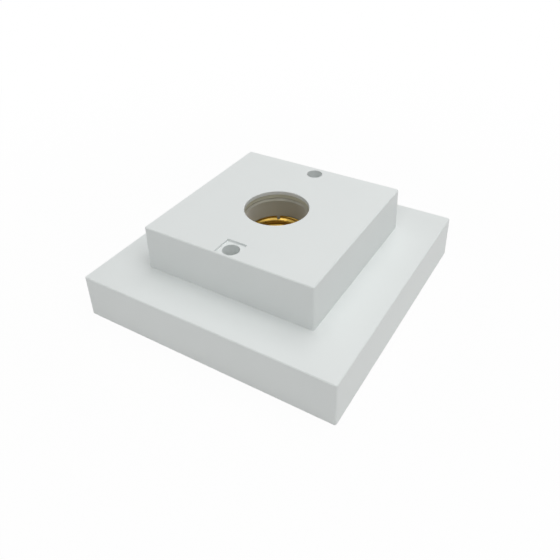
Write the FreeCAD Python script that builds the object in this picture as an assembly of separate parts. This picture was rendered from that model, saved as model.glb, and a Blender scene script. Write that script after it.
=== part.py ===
import FreeCAD, Part
import math
import os

# Square two-tier lamp holder for a ceiling or wall, drawn with its back plane at z = 0.
# The origin is the centre of the back plane and +Z is the way the lamp comes out.
# All lengths are in millimetres and all angles in degrees.

# Moulded tiers: both lean in by the same draft and have the same narrow edges
side_draft = 2.0
corner_round = 0.9
rim_chamfer = 0.35

# Mounting block, the lower tier
block_side = 120.0
block_height = 20.0
block_wall = 2.2
block_top_wall = 2.5
block_rib_height = 5.0
block_rib_wall = 1.6
aperture_gap = 2.5
fixing_spacing = 60.0
fixing_hole_radius = 2.4
fixing_column_wall = 2.6
screw_boss_wall = 2.4
screw_boss_floor = 1.5
lip_height = 1.5
lip_wall = 1.4
lip_clearance = 0.25

# Holder cover, the upper tier
cover_side = 80.0
cover_height = 20.0
cover_wall = 1.8
cover_rib_height = 8.0
cover_rib_wall = 1.2
skirt_wall = 1.6
skirt_clearance = 0.1
hole_ease = 0.05
hole_edge_chamfer = 0.25
well_inset = 6.2
well_radius = 3.5
well_depth = 11.0
well_wall = 1.6
recess_side = 9.2
recess_depth = 1.0
ear_boss_wall = 2.1
pilot_spare = 1.0

# Screw shell for the lamp's cap, drawn from sheet
shell_inner_radius = 13.25
shell_sheet = 0.35
shell_height = 14.6
shell_rim_depth = 12.4
shell_bend = 0.8
shell_foot_width = 4.0
notch_width = 1.5
notch_depth = 1.3
notch_angle = 119.0

# Socket cup, the insulator that carries every live piece
shell_clearance = 0.15
cup_wall = 4.75
cup_floor = 5.0
cup_mouth_chamfer = 0.9
cup_mouth_depth = 1.3
rear_skirt_height = 3.5
rear_skirt_wall = 1.5
barrier_wall = 1.2
barrier_gap = 1.0
ear_reach = 5.8
ear_half_width = 3.6
ear_thickness = 3.0
ear_lift = 2.5
ear_angle = -45.0

# Collar ring, between the cover's hole and the cup's mouth
ring_gap = 0.15
ring_height = 1.65
ring_ease = 0.3

# Contact button and the strip that pushes it up
button_radius = 2.8
button_height = 1.8
button_chamfer = 0.5
button_tip_depth = 26.0
button_stem_radius = 1.8
button_tail_radius = 0.9
button_tail_head_radius = 1.6
button_tail_head_height = 0.6
button_travel = 1.5
pocket_clearance = 0.4
pocket_spare = 0.2
guide_clearance = 0.05
strip_thickness = 0.5
strip_half_width = 3.0
strip_waist_half_width = 2.2
strip_end_gap = 1.0
strip_terminal_reach = 3.5

# Rivets
rivet_clearance = 0.05
shell_rivet_radius = 0.9
shell_rivet_head_radius = 1.35
live_rivet_radius = 1.2
live_rivet_head_radius = 1.6
rivet_head_height = 0.5
live_rivet_gap = 1.6
neutral_rivet_angle = 40.0

# Terminals: a tapped block, a square washer and a slotted screw on each
terminal_block_side = 6.0
terminal_block_height = 3.2
terminal_block_clearance = 0.05
terminal_screw_radius = 1.45
terminal_head_radius = 2.8
terminal_head_height = 2.0
terminal_slot_width = 0.8
terminal_slot_depth = 0.9
thread_clearance = 0.05
washer_side = 6.4
washer_thickness = 0.8

# Screws that hold the cup to the cover
cup_screw_radius = 1.25
cup_screw_hole_clearance = 0.35
cup_screw_head_radius = 2.7
cup_screw_head_height = 1.8
cup_screw_bite = 7.5

# Long screws in the wells that hold the cover to the block
cover_screw_radius = 1.75
cover_screw_hole_clearance = 0.2
cover_screw_head_radius = 2.9
cover_screw_head_height = 2.4
cover_screw_bite = 11.0
cross_slot_width = 0.9
cross_slot_reach = 1.7
cross_slot_depth = 1.2

# Heights that follow from the sizes above
face_z = block_height + cover_height
cover_ceiling_z = face_z - cover_wall
ring_top_z = cover_ceiling_z - ring_gap
ring_bottom_z = ring_top_z - ring_height
cup_top_z = ring_bottom_z
shell_rim_z = face_z - shell_rim_depth
shell_seat_z = shell_rim_z - shell_height
floor_bottom_z = shell_seat_z - cup_floor
rear_skirt_z = floor_bottom_z - rear_skirt_height
ear_bottom_z = block_height + ear_lift
ear_top_z = ear_bottom_z + ear_thickness
well_floor_z = face_z - well_depth
block_ceiling_z = block_height - block_top_wall
strip_bottom_z = floor_bottom_z - strip_thickness
washer_bottom_z = strip_bottom_z - washer_thickness
button_tip_z = face_z - button_tip_depth
button_under_z = button_tip_z - button_height
pocket_floor_z = button_under_z - button_travel - pocket_spare

# Radii and places that follow from the sizes above
shell_outer_radius = shell_inner_radius + shell_sheet
shell_foot_radius = shell_outer_radius - shell_foot_width
cup_bore_radius = shell_outer_radius + shell_clearance
cup_radius = cup_bore_radius + cup_wall
cup_mouth_radius = cup_bore_radius + cup_mouth_chamfer
lamp_hole_radius = cup_bore_radius + hole_ease
ring_inner_radius = cup_bore_radius + ring_ease
rear_skirt_inner_radius = cup_radius - rear_skirt_wall
cover_skirt_inner_radius = cup_radius + skirt_clearance
cover_skirt_radius = cover_skirt_inner_radius + skirt_wall
aperture_radius = cup_radius + aperture_gap
aperture_collar_radius = aperture_radius + block_rib_wall
fixing_column_radius = fixing_hole_radius + fixing_column_wall
cover_hole_radius = cover_screw_radius + cover_screw_hole_clearance
well_tube_radius = well_radius + well_wall
screw_boss_radius = cover_screw_radius + screw_boss_wall
ear_boss_radius = cup_screw_radius + ear_boss_wall
ear_radius = cup_radius + ear_reach
terminal_radius = rear_skirt_inner_radius - strip_end_gap - strip_terminal_reach
shell_rivet_circle = (shell_foot_radius + shell_inner_radius - shell_bend) / 2
live_rivet_x = -(shell_foot_radius - live_rivet_gap - live_rivet_head_radius)
barrier_x = strip_half_width + barrier_gap
well_y = cover_side / 2 - well_inset

WELLS = {"front": (0.0, -well_y), "back": (0.0, well_y)}
EARS = {"right": ear_angle, "left": ear_angle + 180.0}
FIXINGS = ((-fixing_spacing / 2, 0.0), (fixing_spacing / 2, 0.0))
TERMINALS = {"live": (-terminal_radius, 0.0), "neutral": (terminal_radius, 0.0)}


def on_circle(radius, angle):
    """Gives the point at this radius and angle about the lamp's axis."""
    return radius * math.cos(math.radians(angle)), radius * math.sin(math.radians(angle))


def disc(radius, z0, z1, place=(0.0, 0.0)):
    """Makes an upright cylinder from z0 to z1."""
    return Part.makeCylinder(radius, z1 - z0, FreeCAD.Vector(place[0], place[1], z0))


def tube(outer, inner, z0, z1, place=(0.0, 0.0)):
    """Makes an upright tube from z0 to z1."""
    return disc(outer, z0, z1, place).cut(disc(inner, z0, z1, place))


def block(x0, x1, y0, y1, z0, z1):
    """Makes a box between the two corners."""
    return Part.makeBox(x1 - x0, y1 - y0, z1 - z0, FreeCAD.Vector(x0, y0, z0))


def spoke(reach0, reach1, half_width, z0, z1, angle):
    """Makes a radial bar between two distances from the axis, turned to an angle."""
    bar = block(reach0, reach1, -half_width, half_width, z0, z1)
    bar.rotate(FreeCAD.Vector(0, 0, 0), FreeCAD.Vector(0, 0, 1), angle)
    return bar


def turned(profile, place=(0.0, 0.0)):
    """Turns a closed outline of (radius, z) points about an upright axis."""
    points = [FreeCAD.Vector(r, 0, z) for r, z in profile]
    face = Part.Face(Part.makePolygon(points + points[:1]))
    solid = face.revolve(FreeCAD.Vector(0, 0, 0), FreeCAD.Vector(0, 0, 1), 360)
    solid.translate(FreeCAD.Vector(place[0], place[1], 0))
    return solid


def tapered_square(side, z0, z1):
    """Makes a square block that is side wide at z0 and leans in by the draft up to z1."""
    low = side / 2
    top = low - (z1 - z0) * math.tan(math.radians(side_draft))
    solid = Part.makeWedge(-low, z0, -low, -top, -top, low, z1, low, top, top)
    solid.rotate(FreeCAD.Vector(0, 0, 0), FreeCAD.Vector(1, 0, 0), 90)
    return solid


def upright_edges(solid, slack=0.01):
    """Picks the corner edges, which climb the whole height of the solid."""
    height = solid.BoundBox.ZLength
    return [e for e in solid.Edges if e.BoundBox.ZLength > height - slack]


def level_edges(solid, z, slack=0.01):
    """Picks the edges that lie at one height."""
    low, high = z - slack, z + slack
    return [e for e in solid.Edges if e.BoundBox.ZMin > low and e.BoundBox.ZMax < high]


def moulded_tier(side, z0, z1):
    """Makes the outer form of a tier, with rounded corners and a narrow bevel round its top."""
    solid = tapered_square(side, z0, z1)
    solid = solid.makeFillet(corner_round, upright_edges(solid))
    return solid.makeChamfer(rim_chamfer, level_edges(solid, z1))


def side_at(base_side, rise):
    """Gives the width of a leaning tier at a height above its base."""
    return base_side - 2 * rise * math.tan(math.radians(side_draft))


def mounting_block():
    """Lower tier: a shell open at the back, with ribs, screw bosses and fixing columns."""
    form = moulded_tier(block_side, 0.0, block_height)
    hollow = tapered_square(block_side - 2 * block_wall, 0.0, block_ceiling_z)
    rib_z = block_ceiling_z - block_rib_height
    half = block_side / 2
    inside = [disc(aperture_collar_radius, rib_z, block_ceiling_z)]
    rib_line = aperture_radius + block_rib_wall / 2
    for place in (-rib_line, rib_line):
        low, high = place - block_rib_wall / 2, place + block_rib_wall / 2
        inside.append(block(low, high, -half, half, rib_z, block_ceiling_z))
        inside.append(block(-half, half, low, high, rib_z, block_ceiling_z))
    inside += [disc(fixing_column_radius, 0.0, block_ceiling_z, p) for p in FIXINGS]
    boss_hole_z = block_height - cover_screw_bite - pilot_spare
    boss_z = boss_hole_z - screw_boss_floor
    inside += [disc(screw_boss_radius, boss_z, block_ceiling_z, p) for p in WELLS.values()]
    shell = form.cut(hollow).fuse([piece.common(form) for piece in inside])
    lip_top = block_height + lip_height
    cover_opening = cover_side - 2 * cover_wall
    reach = side_at(cover_opening, lip_height) / 2 - lip_clearance
    lip = block(-reach, reach, -reach, reach, block_ceiling_z, lip_top)
    open_reach = reach - lip_wall
    lip = lip.cut(block(-open_reach, open_reach, -open_reach, open_reach, block_ceiling_z, lip_top))
    tube_room = well_tube_radius + lip_clearance
    lip = lip.cut([disc(tube_room, block_ceiling_z, lip_top, p) for p in WELLS.values()])
    shell = shell.fuse(lip)
    holes = [disc(aperture_radius, 0.0, block_height)]
    holes += [disc(fixing_hole_radius, 0.0, block_height, p) for p in FIXINGS]
    thread_radius = cover_screw_radius + thread_clearance
    holes += [disc(thread_radius, boss_hole_z, block_height, p) for p in WELLS.values()]
    return shell.cut(holes).removeSplitter()


def holder_cover():
    """Upper tier: a shell open below, with the lamp hole, two screw wells and a recess."""
    form = moulded_tier(cover_side, block_height, face_z)
    hollow = tapered_square(cover_side - 2 * cover_wall, block_height, cover_ceiling_z)
    skirt_z = ear_top_z + pilot_spare
    rib_z = cover_ceiling_z - cover_rib_height
    half = cover_side / 2
    half_diagonal = half * math.sqrt(2)
    rib_half = cover_rib_wall / 2
    inside = [disc(cover_skirt_radius, skirt_z, cover_ceiling_z)]
    inside += [disc(well_tube_radius, block_height, cover_ceiling_z, p) for p in WELLS.values()]
    for angle in (0.0, 90.0, 180.0, 270.0):
        inside.append(spoke(cup_radius, half, rib_half, rib_z, cover_ceiling_z, angle))
    for angle in EARS.values():
        inside.append(disc(ear_boss_radius, ear_top_z, cover_ceiling_z, on_circle(ear_radius, angle)))
        inside.append(spoke(cup_radius, ear_radius, cover_rib_wall, skirt_z, cover_ceiling_z, angle))
        inside.append(spoke(cup_radius, half_diagonal, rib_half, rib_z, cover_ceiling_z, angle + 90.0))
    shell = form.cut(hollow).fuse([piece.common(form) for piece in inside])
    holes = [disc(cover_skirt_inner_radius, skirt_z, cover_ceiling_z)]
    holes += [disc(lamp_hole_radius, cover_ceiling_z, face_z)]
    edge_foot = FreeCAD.Vector(0, 0, face_z - hole_edge_chamfer)
    edge_radius = lamp_hole_radius + hole_edge_chamfer
    holes.append(Part.makeCone(lamp_hole_radius, edge_radius, hole_edge_chamfer, edge_foot))
    holes += [disc(well_radius, well_floor_z, face_z, p) for p in WELLS.values()]
    holes += [disc(cover_hole_radius, block_height, well_floor_z, p) for p in WELLS.values()]
    pilot_top = ear_top_z + cup_screw_bite + pilot_spare
    pilot_radius = cup_screw_radius + thread_clearance
    for angle in EARS.values():
        holes.append(disc(pilot_radius, ear_top_z, pilot_top, on_circle(ear_radius, angle)))
    reach = recess_side / 2
    recess = block(-reach, reach, -reach, reach, face_z - recess_depth, face_z)
    recess.translate(FreeCAD.Vector(*WELLS["front"], 0))
    holes.append(recess)
    return shell.cut(holes).removeSplitter()


def collar_ring():
    """Moulded ring on the cup's rim, which shows as a band just under the lamp hole."""
    return tube(cup_radius, ring_inner_radius, ring_bottom_z, ring_top_z)


def socket_cup():
    """Insulating cup with a stepped mouth, a thick floor, two ears and a rear skirt."""
    profile = [
        (cup_bore_radius, shell_seat_z),
        (cup_bore_radius, cup_top_z - cup_mouth_depth),
        (cup_mouth_radius, cup_top_z),
        (cup_radius, cup_top_z),
        (cup_radius, rear_skirt_z),
        (rear_skirt_inner_radius, rear_skirt_z),
        (rear_skirt_inner_radius, floor_bottom_z),
        (0.0, floor_bottom_z),
        (0.0, shell_seat_z),
    ]
    cup = turned(profile)
    added = []
    for angle in EARS.values():
        place = on_circle(ear_radius, angle)
        root = cup_radius - cup_wall / 2
        added.append(spoke(root, ear_radius, ear_half_width, ear_bottom_z, ear_top_z, angle))
        added.append(disc(ear_half_width, ear_bottom_z, ear_top_z, place))
    half_chord = math.sqrt(rear_skirt_inner_radius ** 2 - barrier_x ** 2)
    barrier_end = barrier_x + barrier_wall
    added.append(block(barrier_x, barrier_end, -half_chord, half_chord, rear_skirt_z, floor_bottom_z))
    cup = cup.fuse(added)
    holes = []
    for angle in EARS.values():
        hole_radius = cup_screw_radius + cup_screw_hole_clearance
        holes.append(disc(hole_radius, ear_bottom_z, ear_top_z, on_circle(ear_radius, angle)))
    holes.append(disc(button_radius + pocket_clearance, pocket_floor_z, shell_seat_z))
    holes.append(disc(button_stem_radius + guide_clearance, floor_bottom_z, shell_seat_z))
    live_rivet_hole = live_rivet_radius + rivet_clearance
    holes.append(disc(live_rivet_hole, floor_bottom_z, shell_seat_z, (live_rivet_x, 0.0)))
    for place in shell_rivet_places().values():
        holes.append(disc(shell_rivet_radius + rivet_clearance, floor_bottom_z, shell_seat_z, place))
    reach = terminal_block_side / 2 + terminal_block_clearance
    pocket_top = floor_bottom_z + terminal_block_height
    for x, y in TERMINALS.values():
        holes.append(block(x - reach, x + reach, y - reach, y + reach, floor_bottom_z, pocket_top))
    return cup.cut(holes).removeSplitter()


def shell_rivet_places():
    """Places the two rivets of the shell's foot opposite each other."""
    return {
        "neutral": on_circle(shell_rivet_circle, neutral_rivet_angle),
        "plain": on_circle(shell_rivet_circle, neutral_rivet_angle + 180.0),
    }


def screw_shell():
    """Drawn brass shell with an inward foot, a bent corner and a notch in its rim."""
    foot_top_z = shell_seat_z + shell_sheet
    profile = [
        (shell_foot_radius, shell_seat_z),
        (shell_outer_radius - shell_bend, shell_seat_z),
        (shell_outer_radius, shell_seat_z + shell_bend),
        (shell_outer_radius, shell_rim_z),
        (shell_inner_radius, shell_rim_z),
        (shell_inner_radius, foot_top_z + shell_bend),
        (shell_inner_radius - shell_bend, foot_top_z),
        (shell_foot_radius, foot_top_z),
    ]
    holes = []
    for place in shell_rivet_places().values():
        hole_radius = shell_rivet_radius + rivet_clearance
        holes.append(disc(hole_radius, shell_seat_z, foot_top_z, place))
    notch_z = shell_rim_z - notch_depth
    half = notch_width / 2
    root = shell_inner_radius - shell_sheet
    holes.append(spoke(root, shell_outer_radius + shell_sheet, half, notch_z, shell_rim_z, notch_angle))
    return turned(profile).cut(holes).removeSplitter()


def rivet(shank_radius, head_radius, low_z, high_z, place):
    """Makes a rivet whose two heads grip what lies between low_z and high_z."""
    shank = disc(shank_radius, low_z, high_z, place)
    low_head = disc(head_radius, low_z - rivet_head_height, low_z, place)
    high_head = disc(head_radius, high_z, high_z + rivet_head_height, place)
    return shank.fuse([low_head, high_head]).removeSplitter()


def shell_rivet_neutral():
    """Rivet that ties the shell's foot to the neutral strap through the cup's floor."""
    place = shell_rivet_places()["neutral"]
    foot_z = shell_seat_z + shell_sheet
    return rivet(shell_rivet_radius, shell_rivet_head_radius, strip_bottom_z, foot_z, place)


def shell_rivet_plain():
    """Second rivet of the shell's foot, closed on the floor's underside."""
    place = shell_rivet_places()["plain"]
    foot_z = shell_seat_z + shell_sheet
    return rivet(shell_rivet_radius, shell_rivet_head_radius, floor_bottom_z, foot_z, place)


def live_rivet():
    """Rivet that holds the strip under the cup's floor, inside the shell's foot."""
    place = (live_rivet_x, 0.0)
    return rivet(live_rivet_radius, live_rivet_head_radius, strip_bottom_z, shell_seat_z, place)


def centre_contact():
    """Button with a bevelled head, a guided stem and a tail peened under the strip."""
    tail_head_z = strip_bottom_z - button_tail_head_height
    profile = [
        (0.0, tail_head_z),
        (button_tail_head_radius, tail_head_z),
        (button_tail_head_radius, strip_bottom_z),
        (button_tail_radius, strip_bottom_z),
        (button_tail_radius, floor_bottom_z),
        (button_stem_radius, floor_bottom_z),
        (button_stem_radius, button_under_z),
        (button_radius, button_under_z),
        (button_radius, button_tip_z - button_chamfer),
        (button_radius - button_chamfer, button_tip_z),
        (0.0, button_tip_z),
    ]
    return turned(profile)


def live_spring():
    """Springy strip from the live terminal to the button, narrowed where it bends."""
    z0, z1 = strip_bottom_z, floor_bottom_z
    end_x = TERMINALS["live"][0] - strip_terminal_reach
    root_x = live_rivet_x + strip_half_width
    strip = block(end_x, root_x, -strip_half_width, strip_half_width, z0, z1)
    waist = block(root_x, 0.0, -strip_waist_half_width, strip_waist_half_width, z0, z1)
    strip = strip.fuse([waist, disc(strip_half_width, z0, z1)])
    holes = [disc(button_tail_radius + rivet_clearance, z0, z1)]
    holes.append(disc(live_rivet_radius + rivet_clearance, z0, z1, (live_rivet_x, 0.0)))
    holes.append(disc(terminal_screw_radius + thread_clearance, z0, z1, TERMINALS["live"]))
    return strip.cut(holes).removeSplitter()


def neutral_strap():
    """Flat link from the shell's rivet to the neutral terminal, rounded at both ends."""
    z0, z1 = strip_bottom_z, floor_bottom_z
    start, end = TERMINALS["neutral"], shell_rivet_places()["neutral"]
    run = math.hypot(end[0] - start[0], end[1] - start[1])
    bar = block(0.0, run, -strip_waist_half_width, strip_waist_half_width, z0, z1)
    turn = math.degrees(math.atan2(end[1] - start[1], end[0] - start[0]))
    bar.rotate(FreeCAD.Vector(0, 0, 0), FreeCAD.Vector(0, 0, 1), turn)
    bar.translate(FreeCAD.Vector(start[0], start[1], 0))
    strap = bar.fuse([disc(strip_half_width, z0, z1, start), disc(strip_waist_half_width, z0, z1, end)])
    holes = [disc(terminal_screw_radius + thread_clearance, z0, z1, start)]
    holes.append(disc(shell_rivet_radius + rivet_clearance, z0, z1, end))
    return strap.cut(holes).removeSplitter()


def terminal_block(side):
    """Tapped brass block, sunk in the cup's floor behind the strip or strap."""
    x, y = TERMINALS[side]
    reach = terminal_block_side / 2
    top_z = floor_bottom_z + terminal_block_height
    body = block(x - reach, x + reach, y - reach, y + reach, floor_bottom_z, top_z)
    return body.cut(disc(terminal_screw_radius + thread_clearance, floor_bottom_z, top_z, (x, y)))


def terminal_washer(side):
    """Square washer that clamps the wire under the terminal screw's head."""
    x, y = TERMINALS[side]
    reach = washer_side / 2
    body = block(x - reach, x + reach, y - reach, y + reach, washer_bottom_z, strip_bottom_z)
    hole_radius = terminal_screw_radius + thread_clearance
    return body.cut(disc(hole_radius, washer_bottom_z, strip_bottom_z, (x, y)))


def terminal_screw(side):
    """Slotted screw that runs up through the washer and strip into the tapped block."""
    x, y = TERMINALS[side]
    top_z = floor_bottom_z + terminal_block_height - pocket_spare
    head_z = washer_bottom_z - terminal_head_height
    shank = disc(terminal_screw_radius, washer_bottom_z, top_z, (x, y))
    head = disc(terminal_head_radius, head_z, washer_bottom_z, (x, y))
    half = terminal_slot_width / 2
    reach = terminal_head_radius
    slot = block(x - half, x + half, y - reach, y + reach, head_z, head_z + terminal_slot_depth)
    return shank.fuse(head).cut(slot).removeSplitter()


def cross_headed_screw(shank_radius, head_radius, head_height, length):
    """Screw with a cross slot, its head below z = 0 and its shank along +Z."""
    shank = disc(shank_radius, 0.0, length)
    head = disc(head_radius, -head_height, 0.0)
    half = cross_slot_width / 2
    slot_z = cross_slot_depth - head_height
    slots = [
        block(-cross_slot_reach, cross_slot_reach, -half, half, -head_height, slot_z),
        block(-half, half, -cross_slot_reach, cross_slot_reach, -head_height, slot_z),
    ]
    return shank.fuse(head).cut(slots).removeSplitter()


def cup_screw(side):
    """Screw that goes up through an ear of the cup into the cover's boss."""
    length = ear_thickness + cup_screw_bite
    screw = cross_headed_screw(cup_screw_radius, cup_screw_head_radius, cup_screw_head_height, length)
    x, y = on_circle(ear_radius, EARS[side])
    screw.translate(FreeCAD.Vector(x, y, ear_bottom_z))
    return screw


def cover_screw(side):
    """Long screw whose head sits deep in a well and whose point is in the block's boss."""
    length = well_floor_z - block_height + cover_screw_bite
    screw = cross_headed_screw(
        cover_screw_radius, cover_screw_head_radius, cover_screw_head_height, length
    )
    screw.rotate(FreeCAD.Vector(0, 0, 0), FreeCAD.Vector(1, 0, 0), 180)
    x, y = WELLS[side]
    screw.translate(FreeCAD.Vector(x, y, well_floor_z))
    return screw


nodes = {
    "mounting_block": mounting_block(),
    "holder_cover": holder_cover(),
    "collar_ring": collar_ring(),
    "socket_cup": socket_cup(),
    "screw_shell": screw_shell(),
    "shell_rivet_neutral": shell_rivet_neutral(),
    "shell_rivet_plain": shell_rivet_plain(),
    "centre_contact": centre_contact(),
    "live_spring": live_spring(),
    "live_rivet": live_rivet(),
    "neutral_strap": neutral_strap(),
}
for side in TERMINALS:
    nodes[side + "_block"] = terminal_block(side)
    nodes[side + "_washer"] = terminal_washer(side)
    nodes[side + "_screw"] = terminal_screw(side)
for side in EARS:
    nodes["cup_screw_" + side] = cup_screw(side)
for side in WELLS:
    nodes["cover_screw_" + side] = cover_screw(side)

os.makedirs("parts", exist_ok=True)
for name, shape in nodes.items():
    shape.exportStep("parts/" + name + ".step")
    print(name, len(shape.Solids), "solid", round(shape.Volume / 1000, 3), "cm3", shape.isValid())
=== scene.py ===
"""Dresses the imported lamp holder: its finishes, the rolled thread, the screws, the rivets and a studio."""

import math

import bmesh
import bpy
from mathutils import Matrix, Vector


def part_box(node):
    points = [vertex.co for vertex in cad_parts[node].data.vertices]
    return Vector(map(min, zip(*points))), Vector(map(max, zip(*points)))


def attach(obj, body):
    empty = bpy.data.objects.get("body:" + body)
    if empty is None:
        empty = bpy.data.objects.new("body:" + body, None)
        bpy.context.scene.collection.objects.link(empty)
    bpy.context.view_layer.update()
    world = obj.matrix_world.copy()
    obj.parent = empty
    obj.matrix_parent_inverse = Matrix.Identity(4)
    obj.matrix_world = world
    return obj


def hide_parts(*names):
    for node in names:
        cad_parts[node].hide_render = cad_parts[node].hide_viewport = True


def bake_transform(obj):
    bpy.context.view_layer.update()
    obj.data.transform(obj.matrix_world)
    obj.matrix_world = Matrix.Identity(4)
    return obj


bl_info = {
    "name": "Square lamp holder",
    "version": (1, 0, 0),
    "blender": (4, 5, 0),
    "location": "3D View > Sidebar > Lamp holder",
    "description": "Finishes of a square two-tier lamp holder with a brass screw shell",
    "category": "Object",
}

from bpy.props import FloatProperty, FloatVectorProperty, IntProperty, PointerProperty
from mathutils import Matrix, Vector

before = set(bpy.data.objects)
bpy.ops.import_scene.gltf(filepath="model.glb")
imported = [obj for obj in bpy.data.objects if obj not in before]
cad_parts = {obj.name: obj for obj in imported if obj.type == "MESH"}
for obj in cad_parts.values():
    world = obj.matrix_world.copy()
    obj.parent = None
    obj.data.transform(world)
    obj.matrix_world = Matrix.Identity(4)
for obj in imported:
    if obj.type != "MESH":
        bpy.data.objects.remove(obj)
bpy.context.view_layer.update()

MM = 0.001
TAU = 2 * math.pi
HOLDER = "holder"
CONTACT = "contact"

# Copies of the solids: what counts as one point, as flat and as an edge that gets a radius
WELD = 0.002 * MM
FLAT_ANGLE = math.radians(0.3)
EDGE_ANGLE = math.radians(32)
SHARP_ANGLE = math.radians(38)
EDGE_STEPS = 3

# Faces round a turned piece
TURNED_FACES = 48
RIVET_FACES = 32
SCREW_FACES = 40

# Faces along one turn of a screw thread and round its ridge
THREAD_STEPS = 28
RIDGE_SIDES = 4

# A screw's head and point: lengths, and shares of the head's or the core's radius
HEAD_FACE_SHARE = 0.8
HEAD_CROWN = 0.48 * MM
HEAD_ROUND = 0.15 * MM
POINT_SHARE = 0.3
POINT_LENGTH_SHARE = 0.8

# What the finishes show: widths in millimetres, and the share of each colour that tarnish leaves
CLOUD_WIDTH = 22
WAVE_WIDTH = 14
POLISH_WIDTH = 5
TARNISH_WIDTH = 3.5
TARNISH_TINT = (0.78, 0.66, 0.5)

# The eye of the photograph in the holder's own frame, worked out from its straight edges
EYE = Vector((109.06, -172.28, 164.40)) * MM
EYE_LOOK = Vector((-0.41502, 0.65958, -0.62667))
EYE_UP = Vector((-0.30991, 0.54511, 0.77898))
PICTURE_WIDTH = 560
EYE_FOCUS = 558.0
SENSOR = 36.0
NEAREST_SEEN = 10 * MM


def hex_colour(text):
    """Turns an sRGB hex colour into the linear values that shaders use."""
    linear = []
    for start in (1, 3, 5):
        value = int(text[start:start + 2], 16) / 255
        linear.append(value / 12.92 if value <= 0.04045 else ((value + 0.055) / 1.055) ** 2.4)
    return (*linear, 1.0)


def add_node(tree, kind, inputs=None, **settings):
    """Adds a node with its settings, and gives its inputs values or links."""
    node = tree.nodes.new(kind)
    for name, value in settings.items():
        setattr(node, name, value)
    for key, value in (inputs or {}).items():
        if isinstance(value, bpy.types.NodeSocket):
            tree.links.new(value, node.inputs[key])
        else:
            node.inputs[key].default_value = value
    return node


def add_steps(tree, values, steps):
    """Adds a maths node for each step (name, operation, terms). A term is a number or an earlier name."""
    for name, operation, *terms in steps:
        inputs = {place: values.get(term, term) for place, term in enumerate(terms)}
        values[name] = add_node(tree, "ShaderNodeMath", inputs, operation=operation).outputs[0]
    return values


def per_metre(millimetres):
    """Gives the pattern scale whose features are this many millimetres wide."""
    return 1 / (millimetres * MM)


class LampHolderSizes(bpy.types.PropertyGroup):
    """Sizes of the finish that the solids leave open."""

    moulding_edge: FloatProperty(
        name="Moulding edge", description="Radius of the mouldings' edges", default=0.14 * MM,
        unit="LENGTH",
    )
    stamped_edge: FloatProperty(
        name="Stamped edge", description="Radius of the brass pieces' edges", default=0.08 * MM,
        unit="LENGTH",
    )
    thread_pitch: FloatProperty(
        name="Cap thread pitch", description="Rise of the rolled thread in one turn", default=3.629 * MM,
        unit="LENGTH",
    )
    thread_depth: FloatProperty(
        name="Cap thread depth", description="How far the rolled thread dips inwards", default=0.9 * MM,
        unit="LENGTH",
    )
    thread_start: FloatProperty(
        name="Cap thread start", description="Where the thread is widest at the rim",
        default=math.radians(182), subtype="ANGLE",
    )
    rim_band: FloatProperty(
        name="Rim band", description="Height of the plain band above the thread", default=0.2 * MM,
        unit="LENGTH",
    )
    notch_angle: FloatProperty(
        name="Notch angle", description="Where the rim is notched", default=math.radians(119),
        subtype="ANGLE",
    )
    notch_width: FloatProperty(
        name="Notch width", description="Width of the notch in the rim", default=1.0 * MM, unit="LENGTH"
    )
    notch_depth: FloatProperty(
        name="Notch depth", description="Depth of the notch in the rim", default=1.7 * MM, unit="LENGTH"
    )
    shell_rows: IntProperty(
        name="Shell rows", description="Rows of faces up the shell", default=96, min=24
    )
    shell_columns: IntProperty(
        name="Shell columns", description="Faces round the shell", default=180, min=48
    )
    dome_height: FloatProperty(
        name="Dome height", description="Height of the contact button's crown", default=0.55 * MM,
        unit="LENGTH",
    )


class LampHolderColours(bpy.types.PropertyGroup):
    """Colours of the finishes."""

    moulding: FloatVectorProperty(
        name="White moulding", description="Colour of both tiers", size=4, subtype="COLOR",
        default=hex_colour("#ECF0EF"),
    )
    ring: FloatVectorProperty(
        name="Ring", description="Colour of the collar ring", size=4, subtype="COLOR",
        default=hex_colour("#D5D6C4"),
    )
    cup: FloatVectorProperty(
        name="Cup", description="Colour of the socket cup", size=4, subtype="COLOR",
        default=hex_colour("#A5A392"),
    )
    brass: FloatVectorProperty(
        name="Brass", description="Colour of the shell, button, rivets and terminals", size=4,
        subtype="COLOR", default=hex_colour("#C3A252"),
    )
    bronze: FloatVectorProperty(
        name="Spring bronze", description="Colour of the contact strip", size=4, subtype="COLOR",
        default=hex_colour("#C8925A"),
    )
    zinc: FloatVectorProperty(
        name="Zinc plate", description="Colour of the steel screws", size=4, subtype="COLOR",
        default=hex_colour("#C4C6C4"),
    )
    floor: FloatVectorProperty(
        name="Floor", description="Colour of the studio's floor", size=4, subtype="COLOR",
        default=hex_colour("#F2F2F1"),
    )


def new_material(name):
    """Starts a material and gives it with its tree, its main shader and the object's coordinates."""
    material = bpy.data.materials.new(name)
    material.use_nodes = True
    tree = material.node_tree
    shader = tree.nodes["Principled BSDF"]
    place = add_node(tree, "ShaderNodeTexCoord").outputs["Object"]
    return material, tree, shader, place


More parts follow.
